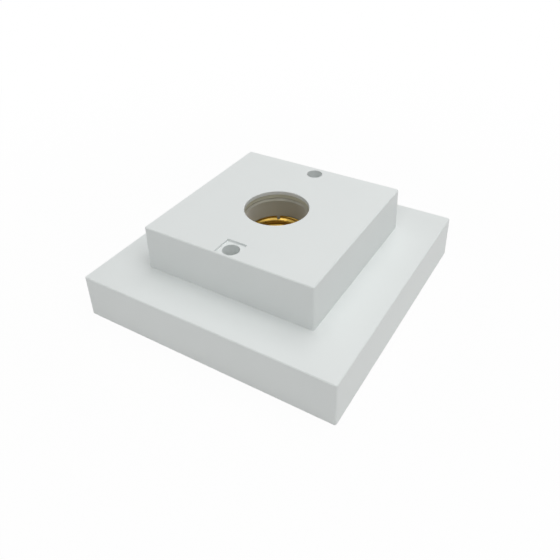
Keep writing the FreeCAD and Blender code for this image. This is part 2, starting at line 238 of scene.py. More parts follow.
def resin_moulding(name, colour, roughness, grain, mottle, sheen=0.0):
    """Pressed thermoset resin: even and faintly glossy, with the fine spark grain of its mould."""
    material, tree, shader, place = new_material(name)
    clouds = add_node(
        tree, "ShaderNodeTexNoise",
        {"Vector": place, "Scale": per_metre(CLOUD_WIDTH), "Detail": 3.0, "Roughness": 0.55},
    )
    darker = tuple(channel * (1 - mottle) for channel in colour[:3]) + (1.0,)
    blend = add_node(
        tree, "ShaderNodeMix", {"Factor": clouds.outputs["Fac"], 6: colour, 7: darker}, data_type="RGBA"
    )
    tree.links.new(blend.outputs[2], shader.inputs["Base Color"])
    polish = add_node(
        tree, "ShaderNodeTexNoise",
        {"Vector": place, "Scale": per_metre(POLISH_WIDTH), "Detail": 4.0, "Roughness": 0.6},
    )
    spread = 0.06
    gloss = add_node(
        tree, "ShaderNodeMapRange",
        {"Value": polish.outputs["Fac"], "To Min": roughness - spread, "To Max": roughness + spread},
    )
    tree.links.new(gloss.outputs["Result"], shader.inputs["Roughness"])
    # The real grain is near 0.05 mm, and it is drawn coarser so that it shows at all
    fine = add_node(
        tree, "ShaderNodeTexNoise",
        {"Vector": place, "Scale": per_metre(grain), "Detail": 2.0, "Roughness": 0.6},
    )
    waves = add_node(
        tree, "ShaderNodeTexNoise",
        {"Vector": place, "Scale": per_metre(WAVE_WIDTH), "Detail": 1.0, "Roughness": 0.5},
    )
    sink = add_node(
        tree, "ShaderNodeBump", {"Height": waves.outputs["Fac"], "Strength": 0.25, "Distance": 0.05 * MM}
    )
    bump = add_node(
        tree, "ShaderNodeBump",
        {
            "Height": fine.outputs["Fac"], "Strength": 0.35, "Distance": 0.02 * MM,
            "Normal": sink.outputs["Normal"],
        },
    )
    tree.links.new(bump.outputs["Normal"], shader.inputs["Normal"])
    shader.inputs["IOR"].default_value = 1.5
    # A fine matte skin, which lightens a wall that is seen along it
    shader.inputs["Sheen Weight"].default_value = sheen
    shader.inputs["Sheen Roughness"].default_value = 0.6
    return material


def rolled_metal(name, colour, roughness, streak, stretch):
    """Cold worked metal: a clear gloss, with fine marks along the way it was drawn and a faint tarnish."""
    material, tree, shader, place = new_material(name)
    shader.inputs["Metallic"].default_value = 1.0
    tarnish = add_node(
        tree, "ShaderNodeTexNoise",
        {"Vector": place, "Scale": per_metre(TARNISH_WIDTH), "Detail": 4.0, "Roughness": 0.6},
    )
    aged = tuple(channel * share for channel, share in zip(colour, TARNISH_TINT)) + (1.0,)
    cover = add_node(
        tree, "ShaderNodeMapRange",
        {"Value": tarnish.outputs["Fac"], "From Min": 0.45, "From Max": 0.75, "To Max": 0.45},
    )
    blend = add_node(
        tree, "ShaderNodeMix", {"Factor": cover.outputs["Result"], 6: colour, 7: aged}, data_type="RGBA"
    )
    tree.links.new(blend.outputs[2], shader.inputs["Base Color"])
    bright, dull = roughness - 0.05, roughness + 0.12
    gloss = add_node(
        tree, "ShaderNodeMapRange",
        {"Value": tarnish.outputs["Fac"], "To Min": bright, "To Max": dull},
    )
    tree.links.new(gloss.outputs["Result"], shader.inputs["Roughness"])
    along = add_node(tree, "ShaderNodeMapping", {"Vector": place, "Scale": stretch})
    marks = add_node(
        tree, "ShaderNodeTexNoise",
        {"Vector": along.outputs["Vector"], "Scale": per_metre(streak), "Detail": 3.0, "Roughness": 0.7},
    )
    bump = add_node(
        tree, "ShaderNodeBump", {"Height": marks.outputs["Fac"], "Strength": 0.3, "Distance": 0.01 * MM}
    )
    tree.links.new(bump.outputs["Normal"], shader.inputs["Normal"])
    return material


def finishes(context):
    """Makes each finish once and gives them by name."""
    colours = context.scene.lamp_holder_colours
    made = {}
    for name, build, *look in (
        # White pressed resin: satin and almost without mottle
        ("white_urea", resin_moulding, colours.moulding[:], 0.42, 0.3, 0.03),
        # Unbleached pressed resin: a warm ivory with soft clouds
        ("ivory_urea", resin_moulding, colours.ring[:], 0.4, 0.25, 0.06),
        # Grey phenolic: the smoothest of the three, with a bloom that lightens it at a slant
        ("stone_grey_phenolic", resin_moulding, colours.cup[:], 0.34, 0.25, 0.06, 1.0),
        # Deep drawn sheet: its marks run up the wall
        ("drawn_brass", rolled_metal, colours.brass[:], 0.32, 0.12, (1, 1, 0.06)),
        # Stamped brass: bright, with marks that run from side to side
        ("stamped_brass", rolled_metal, colours.brass[:], 0.3, 0.1, (0.1, 1, 1)),
        # Rolled phosphor bronze: redder than the brass, with long marks along the strip
        ("spring_bronze", rolled_metal, colours.bronze[:], 0.32, 0.1, (0.06, 1, 1)),
        # Zinc plate on steel: pale, with a soft and even gloss
        ("zinc_steel", rolled_metal, colours.zinc[:], 0.36, 0.2, (1, 1, 1)),
    ):
        made[name] = bpy.data.materials.get(name) or build(name, *look)
    return made


def new_object(name, mesh):
    """Puts a mesh in the scene as an object at the origin."""
    obj = bpy.data.objects.new(name, mesh)
    bpy.context.scene.collection.objects.link(obj)
    return obj


def solid_copy(node, name):
    """Copies a solid as one closed mesh whose flat faces are whole again."""
    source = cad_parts[node].data
    mesh = bpy.data.meshes.new(name)
    mesh.from_pydata([v.co[:] for v in source.vertices], [], [p.vertices[:] for p in source.polygons])
    work = bmesh.new()
    work.from_mesh(mesh)
    bmesh.ops.remove_doubles(work, verts=work.verts, dist=WELD)
    bmesh.ops.dissolve_limit(work, angle_limit=FLAT_ANGLE, verts=work.verts, edges=work.edges)
    work.to_mesh(mesh)
    work.free()
    return new_object(name, mesh)


def settle(obj, material=None):
    """Turns modifiers into a plain mesh with smooth faces and crisp edges."""
    depsgraph = bpy.context.evaluated_depsgraph_get()
    mesh = bpy.data.meshes.new_from_object(obj.evaluated_get(depsgraph))
    obj.modifiers.clear()
    obj.data = mesh
    if material:
        mesh.materials.clear()
        mesh.materials.append(material)
    mesh.shade_smooth()
    mesh.set_sharp_from_angle(angle=SHARP_ANGLE)
    return obj


def soften(obj, width, seat=None):
    """Rounds the edges of a copied solid, but not those at its seat's height, and keeps flats flat."""
    work = bmesh.new()
    work.from_mesh(obj.data)
    weight = work.edges.layers.float.new("bevel_weight_edge")
    for edge in work.edges:
        seated = seat is not None and all(abs(vert.co.z - seat) < WELD for vert in edge.verts)
        edge.smooth = not seated
        edge[weight] = float(edge.is_manifold and edge.calc_face_angle() > EDGE_ANGLE and not seated)
    work.to_mesh(obj.data)
    work.free()
    bevel = obj.modifiers.new("edges", "BEVEL")
    bevel.width = width
    bevel.segments = EDGE_STEPS
    bevel.limit_method = "WEIGHT"
    bevel.use_clamp_overlap = True
    obj.data.shade_smooth()
    weigh = obj.modifiers.new("flats", "WEIGHTED_NORMAL")
    weigh.keep_sharp = True
    return obj


def softened_solid(node, name, width, material, seat=None):
    """Gives a finished copy of a solid with softened edges."""
    obj = soften(solid_copy(node, name), width, seat)
    return settle(obj, material)


def mount_piece(obj, body, slot, *nodes):
    """Lets a piece ride on its body in place of its solids."""
    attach(obj, body)
    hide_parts(*nodes)


def rounded_outline(points, radius, steps=4, room=2.1):
    """Rounds the corners of an open outline of (radius, z) points, with room for two arcs on a line."""
    outline = [Vector(points[0])]
    for before, corner, after in zip(points, points[1:], points[2:]):
        before, corner, after = Vector(before), Vector(corner), Vector(after)
        into = (before - corner).normalized()
        out = (after - corner).normalized()
        half = into.angle(out) / 2
        lengths = (before - corner).length / room, (after - corner).length / room
        cut = min(radius / math.tan(half), *lengths)
        start = corner + into * cut
        end = corner + out * cut
        for step in range(steps + 1):
            t = step / steps
            outline.append((1 - t) ** 2 * start + 2 * t * (1 - t) * corner + t ** 2 * end)
    outline.append(Vector(points[-1]))
    return outline


def turned_mesh(name, outline, segments=TURNED_FACES):
    """Turns an outline of (radius, z) points, which starts and ends on the axis, into a closed mesh."""
    work = bmesh.new()
    rings = []
    for radius, z in outline:
        if radius < WELD:
            rings.append([work.verts.new((0, 0, z))] * segments)
            continue
        angles = (TAU * index / segments for index in range(segments))
        rings.append([work.verts.new((radius * math.cos(a), radius * math.sin(a), z)) for a in angles])
    for low, high in zip(rings, rings[1:]):
        for index in range(segments):
            following = (index + 1) % segments
            corners = [low[index], low[following], high[following], high[index]]
            face = list(dict.fromkeys(corners))
            if len(face) > 2:
                work.faces.new(face)
    bmesh.ops.recalc_face_normals(work, faces=work.faces)
    mesh = bpy.data.meshes.new(name)
    work.to_mesh(mesh)
    work.free()
    return mesh


def open_tree(name, sizes):
    """Starts a geometry tree with named inputs, and gives it with its inputs by name."""
    tree = bpy.data.node_groups.new(name, "GeometryNodeTree")
    tree.interface.new_socket("Geometry", in_out="OUTPUT", socket_type="NodeSocketGeometry")
    tree.interface.new_socket("Geometry", in_out="INPUT", socket_type="NodeSocketGeometry")
    for size, kind in sizes.items():
        tree.interface.new_socket(size, in_out="INPUT", socket_type=kind)
    tree.interface.new_socket("Material", in_out="INPUT", socket_type="NodeSocketMaterial")
    source = add_node(tree, "NodeGroupInput")
    return tree, {socket.name: socket for socket in source.outputs if socket.name}


def close_tree(tree, geometry, material):
    """Ends a geometry tree: what it placed becomes real mesh with its material."""
    real = add_node(tree, "GeometryNodeRealizeInstances", {"Geometry": geometry})
    dressed = add_node(
        tree, "GeometryNodeSetMaterial", {"Geometry": real.outputs["Geometry"], "Material": material}
    )
    add_node(tree, "NodeGroupOutput", {"Geometry": dressed.outputs["Geometry"]})
    return tree


def grow(obj, tree, values):
    """Adds a geometry tree to an object and sets its inputs by their identifiers."""
    modifier = obj.modifiers.new(tree.name, "NODES")
    modifier.node_group = tree
    for item in tree.interface.items_tree:
        if item.in_out == "INPUT" and item.name in values:
            modifier[item.identifier] = values[item.name]
    return modifier


def shell_tree():
    """Builds the rule of the screw shell: a foot, a bend and a wall with a rolled right-hand thread."""
    number = "NodeSocketFloat"
    whole = "NodeSocketInt"
    sizes = {
        "Rows": whole, "Columns": whole, "Foot Radius": number, "Foot Height": number, "Bend": number,
        "Flat": number, "Wall": number, "Pitch": number, "Depth": number, "Start": number,
        "Run In": number, "Rim Band": number, "Notch Angle": number, "Notch Half Angle": number,
        "Notch Depth": number,
    }
    tree, values = open_tree("rolled screw shell", sizes)
    sheet = add_node(
        tree, "GeometryNodeMeshGrid",
        {"Size X": 1.0, "Size Y": 1.0, "Vertices X": values["Columns"], "Vertices Y": values["Rows"]},
    )
    flat_place = add_node(tree, "GeometryNodeInputPosition")
    parts = add_node(tree, "ShaderNodeSeparateXYZ", {0: flat_place.outputs[0]})
    values["across"], values["up"] = parts.outputs["X"], parts.outputs["Y"]
    quarter = TAU / 4
    add_steps(tree, values, [
        ("share round", "ADD", "across", 0.5),
        ("share along", "ADD", "up", 0.5),
        ("angle", "MULTIPLY", "share round", TAU),
        ("arc length", "MULTIPLY", "Bend", quarter),
        ("corner length", "ADD", "arc length", "Flat"),
        ("section length", "ADD", "corner length", "Wall"),
        ("run", "MULTIPLY", "share along", "section length"),
        ("flat part", "MINIMUM", "run", "Flat"),
        ("past flat", "SUBTRACT", "run", "flat part"),
        ("bent length", "MINIMUM", "past flat", "arc length"),
        ("past arc", "SUBTRACT", "past flat", "bent length"),
        ("bend angle", "DIVIDE", "bent length", "Bend"),
        ("bend sine", "SINE", "bend angle"),
        ("bend cosine", "COSINE", "bend angle"),
        ("bend reach", "MULTIPLY", "bend sine", "Bend"),
        ("bend drop", "MULTIPLY", "bend cosine", "Bend"),
        ("bend rise", "SUBTRACT", "Bend", "bend drop"),
        ("rise", "ADD", "bend rise", "past arc"),
        ("top", "ADD", "Bend", "Wall"),
        ("below rim", "SUBTRACT", "rise", "top"),
        ("turns", "DIVIDE", "below rim", "Pitch"),
        ("climb angle", "MULTIPLY", "turns", TAU),
        ("lead angle", "SUBTRACT", "climb angle", "angle"),
        ("wave angle", "ADD", "lead angle", "Start"),
        ("wave", "COSINE", "wave angle"),
        ("trough", "SUBTRACT", 1.0, "wave"),
        ("trough share", "MULTIPLY", "trough", 0.5),
        ("full dip", "MULTIPLY", "trough share", "Depth"),
        ("foot and flat", "ADD", "Foot Radius", "flat part"),
        ("plain radius", "ADD", "foot and flat", "bend reach"),
        ("notch offset", "SUBTRACT", "angle", "Notch Angle"),
        ("notch distance", "ABSOLUTE", "notch offset"),
        ("in notch width", "LESS_THAN", "notch distance", "Notch Half Angle"),
        ("notch floor", "SUBTRACT", "top", "Notch Depth"),
        ("in notch depth", "GREATER_THAN", "rise", "notch floor"),
        ("in notch", "MULTIPLY", "in notch width", "in notch depth"),
        ("run in end", "ADD", "Bend", "Run In"),
        ("band start", "SUBTRACT", "top", "Rim Band"),
        ("run out start", "SUBTRACT", "band start", "Rim Band"),
    ])
    for name, low, high in (("run in", "Bend", "run in end"), ("run out", "band start", "run out start")):
        fade = add_node(
            tree, "ShaderNodeMapRange",
            {"Value": values["rise"], "From Min": values[low], "From Max": values[high]},
            interpolation_type="SMOOTHSTEP",
        )
        values[name] = fade.outputs["Result"]
    add_steps(tree, values, [
        ("fade", "MULTIPLY", "run in", "run out"),
        ("dip", "MULTIPLY", "full dip", "fade"),
        ("radius", "SUBTRACT", "plain radius", "dip"),
        ("cosine", "COSINE", "angle"),
        ("sine", "SINE", "angle"),
        ("x", "MULTIPLY", "radius", "cosine"),
        ("y", "MULTIPLY", "radius", "sine"),
        ("z", "ADD", "rise", "Foot Height"),
    ])
    notched = add_node(
        tree, "GeometryNodeDeleteGeometry",
        {"Geometry": sheet.outputs["Mesh"], "Selection": values["in notch"]}, domain="FACE",
    )
    point = add_node(tree, "ShaderNodeCombineXYZ", {"X": values["x"], "Y": values["y"], "Z": values["z"]})
    rolled = add_node(
        tree, "GeometryNodeSetPosition",
        {"Geometry": notched.outputs["Geometry"], "Position": point.outputs["Vector"]},
    )
    joined = add_node(
        tree, "GeometryNodeMergeByDistance", {"Geometry": rolled.outputs["Geometry"], "Distance": WELD}
    )
    return close_tree(tree, joined.outputs["Geometry"], values["Material"])


def screw_tree():
    """Builds the rule of a screw: its slot or cross, its thread and a copy at each of two places."""
    number = "NodeSocketFloat"
    place = "NodeSocketVector"
    sizes = {
        "First Place": place, "Second Place": place, "Second Turn": number, "Slot Half Width": number,
        "Slot Reach": number, "Cross Reach": number, "Slot Depth": number, "Head Face": number,
        "Core Radius": number, "Ridge": number, "Pitch": number, "Thread Start": number,
        "Thread Length": number,
    }
    tree, values = open_tree("screws", sizes)
    add_steps(tree, values, [
        ("slot width", "MULTIPLY", "Slot Half Width", 2.0),
        ("slot length", "MULTIPLY", "Slot Reach", 2.0),
        ("cross length", "MULTIPLY", "Cross Reach", 2.0),
        ("slot height", "MULTIPLY", "Slot Depth", 2.0),
        ("turns", "DIVIDE", "Thread Length", "Pitch"),
    ])
    face_place = add_node(tree, "ShaderNodeCombineXYZ", {"Z": values["Head Face"]})
    cutters = []
    for length, width in (("slot length", "slot width"), ("slot width", "cross length")):
        size = add_node(
            tree, "ShaderNodeCombineXYZ",
            {"X": values[length], "Y": values[width], "Z": values["slot height"]},
        )
        bar = add_node(tree, "GeometryNodeMeshCube", {"Size": size.outputs["Vector"]})
        moved = add_node(
            tree, "GeometryNodeTransform",
            {"Geometry": bar.outputs["Mesh"], "Translation": face_place.outputs["Vector"]},
        )
        cutters.append(moved.outputs["Geometry"])
    cut = values["Geometry"]
    for cutter in cutters:
        cut = add_node(
            tree, "GeometryNodeMeshBoolean", {"Mesh 1": cut, "Mesh 2": cutter}, operation="DIFFERENCE"
        ).outputs["Mesh"]
    winding = add_node(
        tree, "GeometryNodeCurveSpiral",
        {
            "Resolution": THREAD_STEPS, "Rotations": values["turns"], "Start Radius": values["Core Radius"],
            "End Radius": values["Core Radius"], "Height": values["Thread Length"],
        },
    )
    start = add_node(tree, "ShaderNodeCombineXYZ", {"Z": values["Thread Start"]})
    wound = add_node(
        tree, "GeometryNodeTransform",
        {"Geometry": winding.outputs["Curve"], "Translation": start.outputs["Vector"]},
    )
    edge = add_node(
        tree, "GeometryNodeCurvePrimitiveCircle", {"Resolution": RIDGE_SIDES, "Radius": values["Ridge"]}
    )
    ridge = add_node(
        tree, "GeometryNodeCurveToMesh",
        {"Curve": wound.outputs["Geometry"], "Profile Curve": edge.outputs["Curve"], "Fill Caps": True},
    )
    screw = add_node(tree, "GeometryNodeJoinGeometry", {"Geometry": cut})
    tree.links.new(ridge.outputs["Mesh"], screw.inputs["Geometry"])
    places = add_node(
        tree, "GeometryNodeMeshLine",
        {"Count": 2, "Start Location": values["First Place"], "Offset": values["Second Place"]},
        mode="END_POINTS",
    )
    index = add_node(tree, "GeometryNodeInputIndex")
    values["index"] = index.outputs[0]
    add_steps(tree, values, [("turn", "MULTIPLY", "index", "Second Turn")])
    turn = add_node(tree, "ShaderNodeCombineXYZ", {"Z": values["turn"]})
    placed = add_node(
        tree, "GeometryNodeInstanceOnPoints",
        {
            "Points": places.outputs["Mesh"], "Instance": screw.outputs["Geometry"],
            "Rotation": turn.outputs["Vector"],
        },
    )
    return close_tree(tree, placed.outputs["Instances"], values["Material"])


def middle_of(node):
    """Gives the centre of a solid's box in plan, with its lowest and highest z."""
    low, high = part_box(node)
    return (low.x + high.x) / 2, (low.y + high.y) / 2, low.z, high.z


class LAMPHOLDER_OT_mouldings(bpy.types.Operator):
    """Finishes the mounting block and the holder cover, the two white mouldings"""

    bl_idname = "lamp_holder.mouldings"
    bl_label = "White mouldings"

    def execute(self, context):
        edge = context.scene.lamp_holder_sizes.moulding_edge
        white = finishes(context)["white_urea"]
        block = softened_solid("mounting_block", "block_moulding", edge, white)
        mount_piece(block, HOLDER, "block_moulding", "mounting_block")
        # The cover closes tightly on the block, so its foot stays sharp and shows no seam
        foot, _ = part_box("holder_cover")
        cover = softened_solid("holder_cover", "cover_moulding", edge, white, foot.z)
        mount_piece(cover, HOLDER, "cover_moulding", "holder_cover")
        return {"FINISHED"}


class LAMPHOLDER_OT_insulator(bpy.types.Operator):
    """Finishes the collar ring and the socket cup that show down the lamp hole"""

    bl_idname = "lamp_holder.insulator"
    bl_label = "Cup and ring"

    def execute(self, context):
        edge = context.scene.lamp_holder_sizes.moulding_edge
        made = finishes(context)
        ring = softened_solid("collar_ring", "ring_moulding", edge, made["ivory_urea"])
        mount_piece(ring, HOLDER, "ring_moulding", "collar_ring")
        cup = softened_solid("socket_cup", "cup_moulding", edge, made["stone_grey_phenolic"])
        mount_piece(cup, HOLDER, "cup_moulding", "socket_cup")
        return {"FINISHED"}


class LAMPHOLDER_OT_shell(bpy.types.Operator):
    """Rolls the thread of the brass screw shell"""

    bl_idname = "lamp_holder.shell"
    bl_label = "Screw shell"

    SHEET = 0.35 * MM
    BEND = 0.8 * MM
    FOOT_WIDTH = 4.0 * MM
    RUN_IN = 2.5 * MM

    def execute(self, context):
        sizes = context.scene.lamp_holder_sizes
        low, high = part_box("screw_shell")
        inner = high.x - self.SHEET
        foot = high.x - self.FOOT_WIDTH
        seat = low.z + self.SHEET
        shell = new_object("threaded_shell", bpy.data.meshes.new("threaded_shell"))
        grow(shell, shell_tree(), {
            "Rows": sizes.shell_rows + 1,
            "Columns": sizes.shell_columns + 1,
            "Foot Radius": foot,
            "Foot Height": seat,
            "Bend": self.BEND,
            "Flat": inner - self.BEND - foot,
            "Wall": high.z - seat - self.BEND,
            "Pitch": sizes.thread_pitch,
            "Depth": sizes.thread_depth,
            "Start": sizes.thread_start,
            "Run In": self.RUN_IN,
            "Rim Band": sizes.rim_band,
            "Notch Angle": sizes.notch_angle,
            "Notch Half Angle": sizes.notch_width / 2 / inner,
            "Notch Depth": sizes.notch_depth,
            "Material": finishes(context)["drawn_brass"],
        })
        wall = shell.modifiers.new("sheet", "SOLIDIFY")
        wall.thickness = self.SHEET
        wall.offset = -1.0
        settle(shell)
        mount_piece(shell, HOLDER, "shell_brass", "screw_shell")
        return {"FINISHED"}


class LAMPHOLDER_OT_contact(bpy.types.Operator):
    """Turns the domed centre contact and finishes the strip that springs it"""

    bl_idname = "lamp_holder.contact"
    bl_label = "Centre contact"

    STEM_RADIUS = 1.8 * MM
    TAIL_RADIUS = 0.9 * MM
    TAIL_HEAD_RADIUS = 1.6 * MM
    TAIL_FACE_RADIUS = 1.28 * MM
    TAIL_CHAMFER = 0.36 * MM
    BUTTON_HEIGHT = 1.8 * MM
    DOME_STEPS = 8
    ROUND = 0.12 * MM

    def execute(self, context):
        sizes = context.scene.lamp_holder_sizes
        made = finishes(context)
        low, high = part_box("centre_contact")
        strip_low, strip_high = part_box("live_spring")
        shoulder = high.z - sizes.dome_height
        under = high.z - self.BUTTON_HEIGHT
        body = rounded_outline([
            (0.0, low.z),
            (self.TAIL_FACE_RADIUS, low.z),
            (self.TAIL_HEAD_RADIUS, low.z + self.TAIL_CHAMFER),
            (self.TAIL_HEAD_RADIUS, strip_low.z),
            (self.TAIL_RADIUS, strip_low.z),
            (self.TAIL_RADIUS, strip_high.z),
            (self.STEM_RADIUS, strip_high.z),
            (self.STEM_RADIUS, under),
            (high.x, under),
            (high.x, shoulder),
        ], self.ROUND)
        dome = []
        for step in range(self.DOME_STEPS + 1):
            angle = TAU / 4 * step / self.DOME_STEPS
            dome.append((high.x * math.cos(angle), shoulder + sizes.dome_height * math.sin(angle)))
        button = new_object("contact_button", turned_mesh("contact_button", body[:-1] + dome))
        settle(button, made["stamped_brass"])
        mount_piece(button, CONTACT, "contact_brass", "centre_contact")
        strip = soften(solid_copy("live_spring", "spring_strip"), sizes.stamped_edge)
        split_strip(strip, strip_low.x, strip_high.x)
        settle(strip, made["spring_bronze"])
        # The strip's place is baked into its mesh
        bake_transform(strip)
        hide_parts("live_spring")
        return {"FINISHED"}


def split_strip(strip, start, end, pieces=40):
    """Cuts a strip across into short lengths."""
    work = bmesh.new()
    work.from_mesh(strip.data)
    for index in range(1, pieces):
        place = Vector((start + (end - start) * index / pieces, 0, 0))
        everything = work.verts[:] + work.edges[:] + work.faces[:]
        bmesh.ops.bisect_plane(work, geom=everything, plane_co=place, plane_no=(1, 0, 0))
    work.to_mesh(strip.data)
    work.free()


class LAMPHOLDER_OT_rivets(bpy.types.Operator):
    """Sets the domed rivets of the shell and of the contact strip"""

    bl_idname = "lamp_holder.rivets"
    bl_label = "Rivets"

    HEAD_HEIGHT = 0.5 * MM
    SHANK_SHARE = 0.68
    RIVETS = {
        "shell_rivet_neutral": "neutral_rivet",
        "shell_rivet_plain": "plain_rivet",
        "live_rivet": "strip_rivet",
    }

    def execute(self, context):
        brass = finishes(context)["stamped_brass"]
        for node, name in self.RIVETS.items():
            x, y, low, high = middle_of(node)
            corner, far_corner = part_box(node)
            head = (far_corner.x - corner.x) / 2
            shank = head * self.SHANK_SHARE
            seat_low, seat_high = low + self.HEAD_HEIGHT, high - self.HEAD_HEIGHT
            outline = domed_end(head, low, seat_low)
            outline += [(shank, seat_low), (shank, seat_high)]
            outline += domed_end(head, high, seat_high)[::-1]
            rivet = new_object(name, turned_mesh(name, outline, RIVET_FACES))
            rivet.data.transform(Matrix.Translation((x, y, 0)))
            settle(rivet, brass)
            mount_piece(rivet, HOLDER, "rivet_brass", node)
        return {"FINISHED"}


def domed_end(radius, tip, seat, steps=6):
    """Gives the outline of a domed rivet head from its tip on the axis to its seat."""
    outline = []
    for step in range(steps + 1):
        angle = TAU / 4 * step / steps
        outline.append((radius * math.sin(angle), seat + (tip - seat) * math.cos(angle)))
    return outline


class LAMPHOLDER_OT_terminals(bpy.types.Operator):
    """Finishes the terminal blocks, washers and link, and cuts the slotted terminal screws"""

    bl_idname = "lamp_holder.terminals"
    bl_label = "Terminals"

    SHANK_RADIUS = 1.45 * MM
    CORE_RADIUS = 1.2 * MM
    HEAD_HEIGHT = 2.0 * MM
    SLOT_HALF_WIDTH = 0.4 * MM
    SLOT_DEPTH = 0.9 * MM
    SLOT_OVERRUN = 1.1
    PITCH = 0.6 * MM
    SECOND_TURN = math.radians(65)
    PLAIN = {
        "live_block": "live_terminal_block",
        "neutral_block": "neutral_terminal_block",
        "live_washer": "live_clamp_washer",
        "neutral_washer": "neutral_clamp_washer",
        "neutral_strap": "neutral_link",
    }

    def execute(self, context):
        sizes = context.scene.lamp_holder_sizes
        made = finishes(context)
        for node, name in self.PLAIN.items():
            piece = softened_solid(node, name, sizes.stamped_edge, made["stamped_brass"])
            mount_piece(piece, HOLDER, "terminal_brass", node)
        low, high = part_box("live_screw")
        head = (high.x - low.x) / 2
        under = low.z + self.HEAD_HEIGHT
        blank = screw_blank("terminal_screws", head, self.CORE_RADIUS, low.z, under, high.z)
        screws = new_object("terminal_screws", blank)
        grow(screws, screw_tree(), {
            "First Place": place_of("live_screw"),
            "Second Place": place_of("neutral_screw"),
            "Second Turn": self.SECOND_TURN,
            "Slot Half Width": self.SLOT_HALF_WIDTH,
            "Slot Reach": head * self.SLOT_OVERRUN,
            "Cross Reach": self.SLOT_HALF_WIDTH,
            "Slot Depth": self.SLOT_DEPTH,
            "Head Face": low.z,
            "Core Radius": self.CORE_RADIUS,
            "Ridge": self.SHANK_RADIUS - self.CORE_RADIUS,
            "Pitch": self.PITCH,
            "Thread Start": under + self.PITCH,
            "Thread Length": high.z - under - 2 * self.PITCH,
            "Material": made["zinc_steel"],
        })
        settle(screws)
        mount_piece(screws, HOLDER, "terminal_steel", "live_screw", "neutral_screw")
        return {"FINISHED"}


def place_of(node):
    """Gives a solid's place in plan, as a point at height 0."""
    x, y, _, _ = middle_of(node)
    return (x, y, 0.0)


def screw_blank(name, head, core, face, under, tip):
    """Turns a screw's head and bare core. Its face may be above or below its tip."""
    way = 1 if tip > face else -1
    outline = rounded_outline([
        (0.0, face),
        (head * HEAD_FACE_SHARE, face),
        (head, face + way * HEAD_CROWN),
        (head, under),
        (core, under),
        (core, tip - way * core * POINT_LENGTH_SHARE),
        (core * POINT_SHARE, tip),
        (0.0, tip),
    ], HEAD_ROUND)
    return turned_mesh(name, outline, SCREW_FACES)


class LAMPHOLDER_OT_fixings(bpy.types.Operator):
    """Cuts the cross-headed screws of the cover and of the cup"""

    bl_idname = "lamp_holder.fixings"
    bl_label = "Cover and cup screws"

    CROSS_HALF_WIDTH = 0.42 * MM
    CROSS_REACH = 1.7 * MM
    CROSS_DEPTH = 1.2 * MM
    CORE_SHARE = 0.74
    PITCH = 1.3 * MM
    SECOND_TURN = math.radians(28)
    # Two solids, the head's height, how far the thread bites, the shank's radius and the way it points
    GROUPS = {
        "cover_screws": ("cover_screw_front", "cover_screw_back", 2.4 * MM, 11.0 * MM, 1.75 * MM, -1),
        "cup_screws": ("cup_screw_right", "cup_screw_left", 1.8 * MM, 8.0 * MM, 1.25 * MM, 1),
    }

    def execute(self, context):
        zinc = finishes(context)["zinc_steel"]
        rule = screw_tree()
        for name, (first, second, head_height, bite, shank, way) in self.GROUPS.items():
            low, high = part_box(first)
            head = (high.x - low.x) / 2
            face, tip = (low.z, high.z) if way > 0 else (high.z, low.z)
            under = face + way * head_height
            core = shank * self.CORE_SHARE
            thread_end = tip - way * core
            screws = new_object(name, screw_blank(name, head, core, face, under, tip))
            grow(screws, rule, {
                "First Place": place_of(first),
                "Second Place": place_of(second),
                "Second Turn": self.SECOND_TURN,
                "Slot Half Width": self.CROSS_HALF_WIDTH,
                "Slot Reach": self.CROSS_REACH,
                "Cross Reach": self.CROSS_REACH,
                "Slot Depth": self.CROSS_DEPTH,
                "Head Face": face,
                "Core Radius": core,
                "Ridge": shank - core,
                "Pitch": self.PITCH,
                "Thread Start": min(thread_end, thread_end - way * (bite - core)),
                "Thread Length": bite - core,
                "Material": zinc,
            })
            settle(screws)
            mount_piece(screws, HOLDER, "fixing_steel", first, second)
        return {"FINISHED"}


